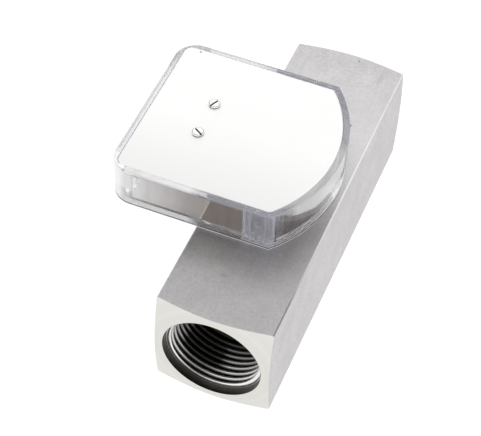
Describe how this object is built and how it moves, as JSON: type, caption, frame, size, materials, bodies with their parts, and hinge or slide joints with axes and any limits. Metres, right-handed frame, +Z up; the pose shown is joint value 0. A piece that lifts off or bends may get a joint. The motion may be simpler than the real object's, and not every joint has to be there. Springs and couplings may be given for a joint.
{
  "type": "variable area flow meter",
  "caption": "In-line flow meter: square steel bar with threaded ports, spring-loaded magnetic float inside, and a clear housing on top with a following pointer.",
  "frame": {"origin": "centre of the bar's flat underside", "axes": "+Y along the bore in the direction of flow, from the inlet port to the outlet port; +Z up, out of the face that carries the indicator housing; the housing overhangs towards -X"},
  "size_m": [0.0722, 0.132, 0.0569],
  "materials": {
    "bar_steel": "satin, fine blasted faces with turned ends",
    "inner_steel": "turned, smooth",
    "spring_steel": "drawn wire, bright",
    "seal_rubber": "matt black",
    "magnet_black": "dark sintered ferrite",
    "bush_plastic": "off-white low-friction plastic",
    "clear_plastic": "clear moulded, polished",
    "plate_metal": "fine satin, nearly white",
    "screw_steel": "bright machined",
    "brass": "turned",
    "arm_metal": "thin bright sheet",
    "flag_brown": "matt red-brown paint"
  },
  "bodies": {
    "meter": {"meter_body": "bar_steel", "inlet_spider": "inner_steel", "outlet_spider": "inner_steel", "retaining_ring": "spring_steel", "metering_sleeve": "inner_steel", "sleeve_seals": "seal_rubber", "guide_rod": "inner_steel", "rod_nuts": "screw_steel", "return_spring": "spring_steel", "housing_base": "clear_plastic", "housing_cap": "clear_plastic", "face_plate": "plate_metal", "pillars": "brass", "pivot_bridge": "arm_metal", "plate_screws": "screw_steel", "base_screws": "screw_steel", "locating_pins": "screw_steel", "lower_bearing": "bush_plastic", "upper_bearing": "bush_plastic"},
    "float": {"float_body": "inner_steel", "float_magnet": "magnet_black", "float_can": "inner_steel", "float_cap": "inner_steel", "float_bushes": "bush_plastic"},
    "pointer": {"pointer_shaft": "inner_steel", "pointer_hub": "brass", "pointer_arm": "arm_metal", "pointer_flag": "flag_brown", "magnet_holder": "arm_metal", "follower_magnet": "magnet_black", "counterweight": "brass"}
  },
  "joints": [
    {"name": "float_slide", "type": "slide", "parent": "meter", "child": "float", "axis": [0, 1, 0], "range_m": [0, 0.028], "stiffness_N_per_m": 40, "springref_m": -0.008, "deforming": ["return_spring"]},
    {"name": "pointer_turn", "type": "hinge", "parent": "meter", "child": "pointer", "pos_m": [-0.0302, 0.0006, 0.0475], "axis": [0, 0, 1], "range_deg": [0, 64]}
  ],
  "couplings": [
    {"joint": "pointer_turn", "follows": "float_slide", "rad_per_m": 39.893}
  ]
}
